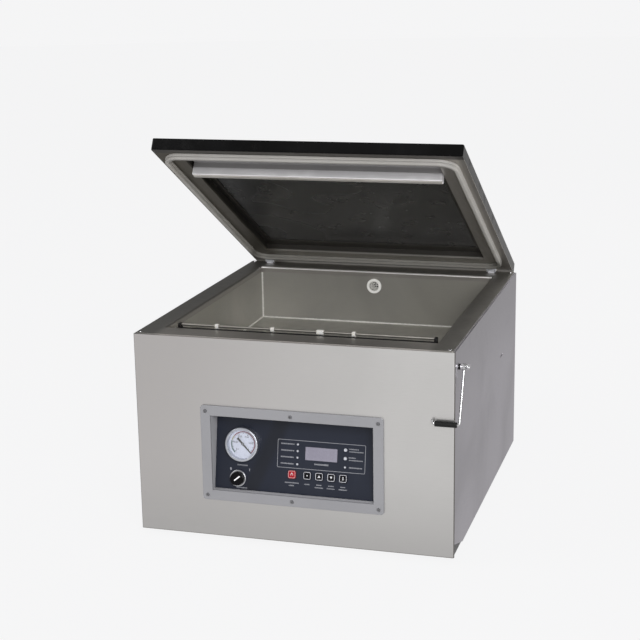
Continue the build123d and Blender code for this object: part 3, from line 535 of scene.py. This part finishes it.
looks = make_looks()
white_ink = ink("white_ink", (0.25, 0.255, 0.28))
bright_ink = ink("bright_ink", (0.60, 0.60, 0.62))
rim_ink = ink("rim_ink", (0.48, 0.48, 0.52))
red_rim_ink = ink("red_rim_ink", (0.58, 0.30, 0.30))
line_ink = ink("line_ink", (0.85, 0.85, 0.86))
black_ink = ink("black_ink", (0.012, 0.012, 0.014))
red_ink = ink("red_ink", (0.16, 0.008, 0.035))
green_ink = ink("green_ink", (0.006, 0.06, 0.055))
yellow_ink = ink("yellow_ink", (0.30, 0.27, 0.16))
segment_ink = ink("segment_ink", (0.20, 0.19, 0.24))
weld_metal = polished("weld_metal", (0.80, 0.79, 0.75), 0.40, metal=0.5).material


# ================================================================ the CAD nodes' finish
# Nodes that look different from the rest of their slot.
own_looks = {
    "front_panel": "front_steel",
    "left_side_panel": "side_steel",
    "right_side_panel": "side_steel",
    "top_deck": "rim_steel",
    "lid_flange": "flange_steel",
    "bar_holder": "holder_steel",
    "bag_rod": "rod_steel",
    "hinge_pins": "rod_steel",
    "vacuum_port": "port_white",
    "latch_arm": "arm_steel",
    "frame_screws": "screw_steel",
    "gauge_case": "bezel_steel",
}
# Thin or small nodes whose edges are left as modelled.
plain_edges = {
    "gauge_glass", "gauge_dial", "lid_springs", "heating_band", "gauge_needle", "vacuum_port",
}
merge_reach = 0.000004
flat_angle = radians(0.3)
sharp_angle = radians(32)
broken_edge = 0.0004  # width of the bevel along an edge
broken_angle = radians(50)  # the least turn that gets a bevel


def sharpen_by_angle():
    """A modifier's node group: edges that turn by more than sharp_angle shade sharp."""
    group = bpy.data.node_groups.new("sharpen_by_angle", "GeometryNodeTree")
    for way in ("INPUT", "OUTPUT"):
        group.interface.new_socket("Geometry", in_out=way, socket_type="NodeSocketGeometry")
    start = group.nodes.new("NodeGroupInput")
    end = group.nodes.new("NodeGroupOutput")
    faces = group.nodes.new("GeometryNodeSetShadeSmooth")
    faces.domain = "FACE"
    edges = group.nodes.new("GeometryNodeSetShadeSmooth")
    edges.domain = "EDGE"
    edges.inputs["Shade Smooth"].default_value = False
    angle = group.nodes.new("GeometryNodeInputMeshEdgeAngle")
    steep = group.nodes.new("FunctionNodeCompare")
    steep.operation = "GREATER_THAN"
    steep.inputs[1].default_value = sharp_angle
    group.links.new(angle.outputs["Unsigned Angle"], steep.inputs[0])
    group.links.new(steep.outputs["Result"], edges.inputs["Selection"])
    group.links.new(start.outputs[0], faces.inputs["Geometry"])
    group.links.new(faces.outputs["Geometry"], edges.inputs["Geometry"])
    group.links.new(edges.outputs["Geometry"], end.inputs[0])
    return group


sharpening = sharpen_by_angle()


def dress(node, part):
    """Gives a CAD node its material, finely broken edges and clean shading."""
    part.data.materials.clear()
    part.data.materials.append(looks[own_looks.get(node, slots[node])])
    part.data.normals_split_custom_set([(0, 0, 0)] * len(part.data.loops))
    weld = part.modifiers.new("merge", "WELD")
    weld.merge_threshold = merge_reach
    flats = part.modifiers.new("flats", "DECIMATE")
    flats.decimate_type = "DISSOLVE"
    flats.angle_limit = flat_angle
    if node not in plain_edges:
        low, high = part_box(node)
        edge = part.modifiers.new("edges", "BEVEL")
        edge.width = min(broken_edge, min(high - low) * 0.1)
        edge.segments = 2
        edge.limit_method = "ANGLE"
        edge.angle_limit = broken_angle
        edge.use_clamp_overlap = True
    part.modifiers.new("sharpen", "NODES").node_group = sharpening
    weight = part.modifiers.new("weigh", "WEIGHTED_NORMAL")
    weight.keep_sharp = True
    weight.weight = 100


for node, part in frame["nodes"].items():
    dress(node, part)


# ================================================================ building new pieces
def piece(name, mesh, material, body, smooth=True):
    """A new object in a slot, from a finished mesh in the row frame, riding on a body if given."""
    made = bpy.data.objects.new(name, mesh)
    bpy.context.scene.collection.objects.link(made)
    mesh.materials.clear()
    mesh.materials.append(material)
    if smooth:
        mesh.shade_smooth()
    if body:
        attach(made, body)
    return made


def join_rings(build, first, second):
    """Closes the gap between two rings of the same number of points with a strip of faces."""
    for i in range(len(first)):
        j = (i + 1) % len(first)
        build.faces.new((first[i], first[j], second[j], second[i]))


def slab(build, outline, low, high, place):
    """Adds a flat plate with the given outline, from low to high above a local plane."""
    bottom = [build.verts.new(place @ Vector((x, y, low))) for x, y in outline]
    top = [build.verts.new(place @ Vector((x, y, high))) for x, y in outline]
    build.faces.new(list(reversed(bottom)))
    build.faces.new(top)
    join_rings(build, bottom, top)


def band(build, outer, inner, low, high, place):
    """Adds a plate between two outlines of the same number of points."""
    rings = [
        [build.verts.new(place @ Vector((x, y, z))) for x, y in outline]
        for outline, z in ((outer, low), (outer, high), (inner, high), (inner, low))
    ]
    for ring, next_ring in zip(rings, rings[1:] + rings[:1]):
        join_rings(build, ring, next_ring)


def finish_mesh(build, name):
    """Turns what has been built into a mesh whose faces all look outwards."""
    bmesh.ops.recalc_face_normals(build, faces=build.faces)
    mesh = bpy.data.meshes.new(name)
    build.to_mesh(mesh)
    build.free()
    return mesh


def printed(name, build, material, body):
    """A printed piece, from the flat plates in build."""
    piece(name, finish_mesh(build, name), material, body, smooth=False)


def rounded(x, y, width, height, radius, steps=5):
    """Outline of a rectangle with round corners, centred at x, y."""
    points = []
    for cx, cy, start in ((1, 1, 0), (-1, 1, 90), (-1, -1, 180), (1, -1, 270)):
        for step in range(steps + 1):
            angle = radians(start + 90 * step / steps)
            points.append(
                (
                    x + cx * (width / 2 - radius) + radius * cos(angle),
                    y + cy * (height / 2 - radius) + radius * sin(angle),
                )
            )
    return points


def sector(inner, outer, start, end):
    """Outline of a band round the local origin, between two angles in degrees."""
    steps_per_half_turn = 32
    count = int(steps_per_half_turn * (end - start) / 180)
    angles = [radians(start + (end - start) * i / count) for i in range(count + 1)]
    points = [(outer * cos(angle), outer * sin(angle)) for angle in angles]
    points += [(inner * cos(angle), inner * sin(angle)) for angle in reversed(angles)]
    return points


def numeral(name, text, size, place, x, y, material):
    """A raised printed number on the cabinet, centred at a local place."""
    font = bpy.data.curves.new(name, "FONT")
    font.body = text
    font.size = size
    font.align_x = "CENTER"
    font.align_y = "CENTER"
    font.extrude = 0.02
    holder = bpy.data.objects.new(name + "_text", font)
    bpy.context.scene.collection.objects.link(holder)
    bpy.context.view_layer.update()
    mesh = bpy.data.meshes.new_from_object(holder)
    bpy.data.objects.remove(holder)
    mesh.transform(place @ Matrix.Translation((x, y, 0)))
    piece(name, mesh, material, "cabinet", smooth=False)


# ================================================================ printing on the control panel
ink_t = 0.06  # thickness of printed ink, in millimetres
label_box = (41.0, 63.15, 139.0, 43.7)  # the outline round display and lamps: middle and size


def word_marks(build, x, up, width, height, seed):
    """A printed caption reduced to a row of plain marks, with no letters in it."""
    draw = random.Random(seed)
    pen, end = x - width / 2, x + width / 2
    shortest = 0.6
    while pen < end - shortest:
        mark = min(draw.uniform(0.9, 1.5), end - pen)
        tall = height * draw.choice((1.0, 1.0, 0.8))
        slab(build, rounded(pen + mark / 2, up, mark, tall, 0.2, 2), 0, ink_t, panel)
        pen += mark + draw.uniform(0.45, 0.6)


def panel_captions():
    """Middle, length and height of each caption: the lamps', the display's and the controls'."""
    captions = [(-12.4, up, 21.0, 2.0) for up in (78.4, 68.3, 58.2, 48.1)]
    captions += [(92.0, 77.4, 15.0, 1.7), (96.0, 73.6, 22.0, 1.7)]
    captions += [(90.0, 64.4, 11.0, 1.7), (96.0, 60.6, 22.0, 1.7), (95.5, 49.3, 20.0, 2.0)]
    captions += [(41.8, 50.2, 22.0, 2.6), (gauge_x, 39.7, 17.0, 2.0), (gauge_x, 4.6, 17.0, 1.8)]
    captions += [(-4.1, 19.0, 22.0, 1.9), (-4.1, 14.6, 9.0, 1.9), (20.3, 18.4, 8.0, 1.9)]
    for key_x in (39.2, 58.2, 76.9):
        captions += [(key_x, 18.6, 8.0, 1.7), (key_x, 14.6, 13.0, 1.7)]
    return captions


def panel_printing():
    """The outline box, the captions and the two marks at the selector."""
    build = bmesh.new()
    x, up, width, height = label_box
    line = 0.75
    outer = rounded(x, up, width, height, 2.2)
    inner = rounded(x, up, width - 2 * line, height - 2 * line, 1.5)
    band(build, outer, inner, 0, ink_t, panel)
    for seed, caption in enumerate(panel_captions()):
        word_marks(build, *caption, seed)
    printed("panel_print", build, white_ink, "cabinet")
    for name, text, across, above in (("mark_off", "0", -12.2, 13.6), ("mark_on", "1", 18.2, 13.9)):
        x, y = selector_x + across, selector_up + above
        numeral(name, text, 5.6, panel, x, y, rim_ink)


def key_printing():
    """Pale border and symbol of each key, riding on the key."""
    triangle = [(-2.3, -1.7), (2.3, -1.7), (0, 2.2)]
    symbols = {
        "stop_button": [sector(1.5, 2.1, -50, 230), rounded(0, 1.4, 0.7, 2.8, 0.2, 2)],
        "set_button": [sector(0.0001, 1.0, 0, 359)],  # a dot
        "up_button": [triangle],
        "down_button": [[(x, -y) for x, y in triangle]],
        "select_button": [rounded(0, 0, 1.2, 5.0, 0.3, 2), rounded(0, -1.8, 2.8, 0.8, 0.2, 2)],
    }
    rim_top, dish = 1.6, 1.3  # heights above the panel of the key's rim and the dish within it
    outer, inner = rounded(0, 0, 11.3, 11.3, 2.2), rounded(0, 0, 9.7, 9.7, 1.5)
    for button, outlines in symbols.items():
        key = panel @ Matrix.Translation((*panel_place(centre_of(button)), 0))
        border, symbol = bmesh.new(), bmesh.new()
        band(border, outer, inner, rim_top, rim_top + ink_t, key)
        for outline in outlines:
            slab(symbol, outline, dish, dish + ink_t, key)
        border_ink = red_rim_ink if button == "stop_button" else rim_ink
        printed(button + "_rim", border, border_ink, button)
        printed(button + "_mark", symbol, bright_ink, button)


def display_digits():
    """Four unlit seven-segment digits, each with its point, on the display lens."""
    build = bmesh.new()
    place = panel @ Matrix.Translation((display_x, display_up, 0))
    low, high = 0.4, 0.43
    wide, tall, thick = 6.6, 12.5, 1.1
    for digit_x in (-17.4, -5.8, 5.8, 17.4):
        for level in (-1, 0, 1):
            y = level * (tall / 2 - thick / 2)
            slab(build, rounded(digit_x, y, wide - 2.2, thick, 0.3, 2), low, high, place)
        for side in (-1, 1):
            for half in (-1, 1):
                x, y = digit_x + side * (wide / 2 - thick / 2), half * (tall / 4)
                slab(build, rounded(x, y, thick, tall / 2 - 1.8, 0.3, 2), low, high, place)
        x, y = digit_x + wide / 2 + 1.3, -tall / 2 + 0.5
        slab(build, rounded(x, y, 1.0, 1.0, 0.4, 2), low, high, place)
    printed("display_digits", build, segment_ink, "cabinet")


panel_printing()
key_printing()
display_digits()

# ================================================================ vacuum gauge
card_top = 1.12  # height of the dial card above the panel, in millimetres
dial = panel @ Matrix.Translation((gauge_x, gauge_up, card_top))
zero_angle = -45.0
sweep = 270.0
divisions = 50


def gauge_ticks():
    """The dial's ticks. Vacuum runs anticlockwise from zero."""
    build = bmesh.new()
    outer = 17.6
    for i in range(divisions + 1):
        turn = dial @ Matrix.Rotation(radians(zero_angle + sweep * i / divisions), 4, "Z")
        inner, half = (14.6, 0.4) if i % 10 == 0 else (15.8, 0.28) if i % 5 == 0 else (16.4, 0.16)
        outline = [(inner, -half), (outer, -half), (outer, half), (inner, half)]
        slab(build, outline, 0, ink_t, turn)
    printed("gauge_ticks", build, black_ink, "cabinet")


def gauge_bands():
    """The red, yellow and green arcs outside the ticks."""
    inner = 17.9
    bands = (
        ("gauge_band_red", red_ink, 19.5, zero_angle, 141),
        ("gauge_band_yellow", yellow_ink, 19.5, 142, 166),
        ("gauge_band_green", green_ink, 19.7, 167, 227),
    )
    for name, colour, outer, start, end in bands:
        build = bmesh.new()
        slab(build, sector(inner, outer, start, end), 0, ink_t, dial)
        printed(name, build, colour, "cabinet")


def gauge_numbers():
    """The numbers inside the ticks, from 0 to 0.1."""
    reach = 12.2
    for i in range(6):
        angle = radians(zero_angle + sweep * i / 5)
        text = "0" if i == 0 else f"{0.02 * i:.2f}".rstrip("0")
        x, y = reach * cos(angle), reach * sin(angle)
        numeral(f"gauge_number_{i}", text, 4.0, dial, x, y, black_ink)


def selector_line():
    """White line let into the knob's groove."""
    build = bmesh.new()
    groove_floor, groove_angle = 9.0, radians(40)
    groove = panel @ Matrix.Translation((selector_x, selector_up, groove_floor))
    groove = groove @ Matrix.Rotation(groove_angle, 4, "Z")
    slab(build, rounded(1.5, 0, 11.3, 2.0, 0.4, 3), 0.02, 0.42, groove)
    printed("selector_line", build, line_ink, "selector")


gauge_ticks()
gauge_bands()
gauge_numbers()
selector_line()


# ================================================================ welds and springs
def tube(build, path, sizes, sides):
    """Adds a round tube along points in the row frame, with a radius at each, without twist."""
    rings, side = [], None
    angles = [2 * pi * k / sides for k in range(sides)]
    for i, (point, size) in enumerate(zip(path, sizes)):
        ahead = path[min(i + 1, len(path) - 1)] - path[max(i - 1, 0)]
        ahead.normalize()
        if side is None:
            side = ahead.orthogonal().normalized()
        side = (side - ahead * side.dot(ahead)).normalized()
        up = ahead.cross(side)
        ring = [point + (side * cos(angle) + up * sin(angle)) * size for angle in angles]
        rings.append([build.verts.new(corner) for corner in ring])
    for ring, next_ring in zip(rings, rings[1:]):
        join_rings(build, ring, next_ring)
    build.faces.new(list(reversed(rings[0])))
    build.faces.new(rings[-1])


def chamber_welds():
    """Ground weld beads along the chamber's four upright corners and round its floor."""
    build = bmesh.new()
    draw = random.Random(7)
    inset, bead, step = 0.0010, 0.0017, 0.0025
    left, front, foot = (value + inset for value in chamber_low)
    right, rear = chamber_high.x - inset, chamber_high.y - inset
    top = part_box("top_deck")[0].z - 0.001
    plan = ((left, front), (right, front), (right, rear), (left, rear))
    corners = [Vector((x, y, foot)) for x, y in plan]
    runs = list(zip(corners, corners[1:] + corners[:1]))
    runs += [(corner, Vector((corner.x, corner.y, top))) for corner in corners]
    for start, end in runs:
        count = int((end - start).length / step)
        path = [start.lerp(end, i / count) for i in range(count + 1)]
        sizes = [bead * draw.uniform(0.8, 1.15) for _ in path]
        tube(build, path, sizes, 6)
    piece("chamber_welds", finish_mesh(build, "chamber_welds"), weld_metal, "cabinet")


wire = 0.0008  # radius of the spring's wire
coil = 0.0042  # radius of its coil


def spring_path(side):
    """Bottom loop, coil and top loop of one lid spring, from its lower hook to its upper one."""
    low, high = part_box("lid_springs")
    x, y = side * (high.x - coil - wire), (low.y + high.y) / 2
    clearance, loop, pitch = 0.003, 0.012, 0.0024
    bottom, top = low.z + clearance, high.z - clearance
    first, last = bottom + loop, top - loop
    loop_steps, turn_steps = 13, 16
    path = []
    for step in range(loop_steps + 1):  # the bottom loop, through its hole and up to the coil
        angle = radians(-270 + 270 * step / loop_steps)
        path.append(Vector((x + coil * cos(angle), y, bottom + coil + coil * sin(angle))))
    steps = int((last - first) / pitch) * turn_steps
    for step in range(steps + 1):
        angle = 2 * pi * step / turn_steps
        height = first + (last - first) * step / steps
        path.append(Vector((x + coil * cos(angle), y + coil * sin(angle), height)))
    for step in range(loop_steps + 1):
        angle = radians(270 * step / loop_steps)
        path.append(Vector((x + coil * cos(angle), y, top - coil + coil * sin(angle))))
    return path


def lid_springs():
    """The two extension springs behind the case, wound from round wire."""
    for side, name in ((-1, "lid_spring_left"), (1, "lid_spring_right")):
        build = bmesh.new()
        path = spring_path(side)
        tube(build, path, [wire] * len(path), 8)
        made = piece(name, finish_mesh(build, name), looks["bright_steel"], None)
        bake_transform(made)
        if side == 1:
            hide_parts("lid_springs")


chamber_welds()
lid_springs()


# ================================================================ camera, light and ground
def place_camera():
    """Stands where the operator would, a little to the right and above the deck."""
    azimuth = radians(16.602)
    elevation = radians(13.969)
    roll = radians(-0.9496)
    distance = 2.4395
    target = Vector((-0.03485, 0, 0.28164))
    back = Vector((sin(azimuth) * cos(elevation), -cos(azimuth) * cos(elevation), sin(elevation)))
    across = Vector((cos(azimuth), sin(azimuth), 0))
    up = back.cross(across)
    level = Matrix((across, up, back)).transposed().to_4x4()
    stand = Matrix.Translation(target + back * distance)
    camera = bpy.data.objects.new("camera", bpy.data.cameras.new("camera"))
    camera.data.lens = 82.05
    camera.data.sensor_width = 36.0
    camera.data.clip_start = 0.05
    camera.data.clip_end = 60.0
    camera.matrix_world = stand @ level @ Matrix.Rotation(roll, 4, "Z")
    bpy.context.scene.collection.objects.link(camera)
    bpy.context.scene.camera = camera


def softbox(name, place, size, power):
    """A square area light at place, facing the middle of the object."""
    aim = Vector((0, 0, 0.3))
    light = bpy.data.lights.new(name, "AREA")
    light.shape = "SQUARE"
    light.size = size
    light.energy = power
    lamp = bpy.data.objects.new(name, light)
    lamp.location = place
    lamp.rotation_euler = (aim - Vector(place)).to_track_quat("-Z", "Y").to_euler()
    bpy.context.scene.collection.objects.link(lamp)


def studio_world():
    """What the steel reflects: a pale floor, brighter in front, a dim room and its ceiling."""
    world = bpy.data.worlds.new("studio")
    bpy.context.scene.world = world
    world.use_nodes = True
    tree = world.node_tree

    def fade(value, start, end, low, high):
        """Goes from low to high, each a number or an output, as value goes from start to end."""
        node = tree.nodes.new("ShaderNodeMapRange")
        node.interpolation_type = "SMOOTHSTEP"
        tree.links.new(value, node.inputs["Value"])
        settings = {"From Min": start, "From Max": end, "To Min": low, "To Max": high}
        for socket, setting in settings.items():
            if isinstance(setting, float):
                node.inputs[socket].default_value = setting
            else:
                tree.links.new(setting, node.inputs[socket])
        return node.outputs["Result"]

    split = tree.nodes.new("ShaderNodeSeparateXYZ")
    tree.links.new(tree.nodes.new("ShaderNodeTexCoord").outputs["Generated"], split.inputs[0])
    across, back, up = (split.outputs[axis] for axis in "XYZ")
    left_to_right, front_to_back = (-0.15, 0.15), (-0.6, 0.8)
    floor_behind = fade(across, *left_to_right, 0.14, 0.50)
    room_behind = fade(across, *left_to_right, 0.11, 0.22)
    floor = fade(back, *front_to_back, 0.98, floor_behind)
    room = fade(back, *front_to_back, 0.42, room_behind)
    floor_to_room = fade(up, -0.20, 0.15, floor, room)
    whole = fade(up, 0.70, 0.95, floor_to_room, 0.8)
    background = tree.nodes["Background"]
    tree.links.new(whole, background.inputs["Strength"])
    background.inputs["Color"].default_value = (1.0, 0.99, 0.985, 1)


def pale_tone():
    """A material that holds one even pale tone, wherever the light falls."""
    tone = bpy.data.materials.new("pale_ground")
    tone.use_nodes = True
    shader = tone.node_tree.nodes["Principled BSDF"]
    shader.inputs["Base Color"].default_value = (0.03, 0.03, 0.03, 1)
    shader.inputs["Roughness"].default_value = 1.0
    shader.inputs["Specular IOR Level"].default_value = 0.0
    shader.inputs["Emission Color"].default_value = (0.86, 0.86, 0.865, 1)
    shader.inputs["Emission Strength"].default_value = 1.035
    return tone


def unreflected(name, mesh, tone):
    """An object of the stage, which the steel doesn't reflect."""
    mesh.materials.append(tone)
    made = bpy.data.objects.new(name, mesh)
    bpy.context.scene.collection.objects.link(made)
    made.visible_glossy = False
    return made


def pale_ground():
    """A plain pale floor, and a backdrop round it that neither lights nor shades anything."""
    tone = pale_tone()
    reach = 14.0
    corners = [(x * reach, y * reach, ground_z) for x, y in ((-1, -1), (1, -1), (1, 1), (-1, 1))]
    plane = bpy.data.meshes.new("floor")
    plane.from_pydata(corners, [], [(0, 1, 2, 3)])
    ground = unreflected("floor", plane, tone)

    build = bmesh.new()
    bmesh.ops.create_uvsphere(build, u_segments=48, v_segments=24, radius=reach)
    bmesh.ops.reverse_faces(build, faces=build.faces)
    dome = bpy.data.meshes.new("backdrop")
    build.to_mesh(dome)
    build.free()
    backdrop = unreflected("backdrop", dome, tone)
    backdrop.visible_diffuse = False
    backdrop.visible_transmission = False
    backdrop.visible_shadow = False


place_camera()
studio_world()
pale_ground()
softbox("key", (-2.4, -1.4, 2.2), 1.6, 30)
softbox("front", (1.2, -2.6, 1.5), 1.2, 60)
softbox("rim", (0.6, 2.4, 2.2), 1.4, 18)
bpy.context.scene.view_settings.view_transform = "Standard"
